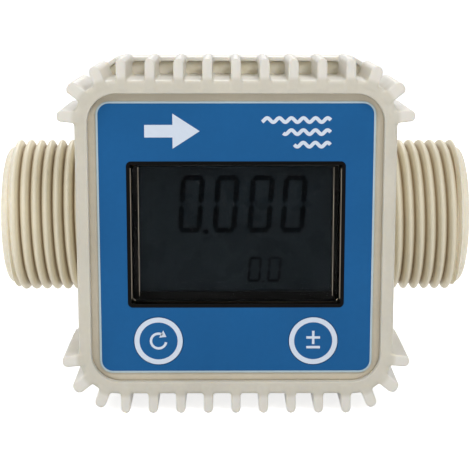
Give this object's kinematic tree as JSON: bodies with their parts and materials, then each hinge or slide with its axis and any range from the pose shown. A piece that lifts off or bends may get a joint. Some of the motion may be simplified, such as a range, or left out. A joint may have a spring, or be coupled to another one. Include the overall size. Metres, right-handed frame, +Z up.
{
  "type": "turbine flow meter",
  "caption": "In-line turbine flow meter with male pipe threads at both ends, a liquid-crystal display with two keys, and a finned rubber boot.",
  "frame": {"origin": "middle of the base the meter stands on: the lower fins' tips and the body's rim", "axes": "+X along the pipe from inlet to outlet, -Y out of the display, +Z up"},
  "size_m": [0.1, 0.0516, 0.072],
  "materials": {
    "nylon_ivory": "satin moulded nylon",
    "silicone_milky": "translucent milky silicone, satin",
    "label_film": "printed blue film, satin",
    "clear_lens": "clear, polished",
    "lcd_glass": "dark grey-green liquid-crystal glass",
    "black_plastic": "satin black",
    "board_green": "solder-mask green",
    "black_rubber": "matt",
    "acetal_white": "smooth acetal",
    "acetal_grey": "smooth dark acetal",
    "bronze": "sintered bronze",
    "steel": "ground stainless steel",
    "spring_steel": "dark phosphated spring steel",
    "nickel": "nickel plate",
    "cell_jacket": "plain dark jacket"
  },
  "bodies": {
    "case": {"meter_body": "nylon_ivory", "inlet_port": "nylon_ivory", "outlet_port": "nylon_ivory", "inlet_stator": "acetal_white", "outlet_stator": "acetal_white", "inlet_bush": "bronze", "outlet_bush": "bronze", "inlet_retaining_ring": "spring_steel", "outlet_retaining_ring": "spring_steel", "display_housing": "nylon_ivory", "front_label": "label_film", "display_lens": "clear_lens", "lcd_frame": "black_plastic", "lcd_glass": "lcd_glass", "contact_strips": "black_rubber", "circuit_board": "board_green", "pickup_sensor": "black_plastic", "battery_tray": "black_plastic", "upper_battery": "cell_jacket", "lower_battery": "cell_jacket", "battery_studs": "nickel", "battery_springs": "nickel", "rear_cover": "nylon_ivory", "case_gasket": "black_rubber", "case_screws": "steel", "protective_boot": "silicone_milky", "reset_switch": "black_plastic", "cal_switch": "black_plastic"},
    "rotor": {"turbine_rotor": "acetal_grey", "rotor_magnets": "nickel", "rotor_shaft": "steel"},
    "reset_key": {"reset_button": "label_film", "reset_plunger": "black_plastic"},
    "cal_key": {"cal_button": "label_film", "cal_plunger": "black_plastic"}
  },
  "joints": [
    {"name": "rotor_spin", "type": "hinge", "parent": "case", "child": "rotor", "pos_m": [0, 0.00575, 0.036], "axis": [1, 0, 0], "continuous": true},
    {"name": "reset_press", "type": "slide", "parent": "case", "child": "reset_key", "axis": [0, 1, 0], "range_m": [0, 0.0004], "stiffness_N_per_m": 3000, "springref_m": -0.0001},
    {"name": "cal_press", "type": "slide", "parent": "case", "child": "cal_key", "axis": [0, 1, 0], "range_m": [0, 0.0004], "stiffness_N_per_m": 3000, "springref_m": -0.0001}
  ]
}
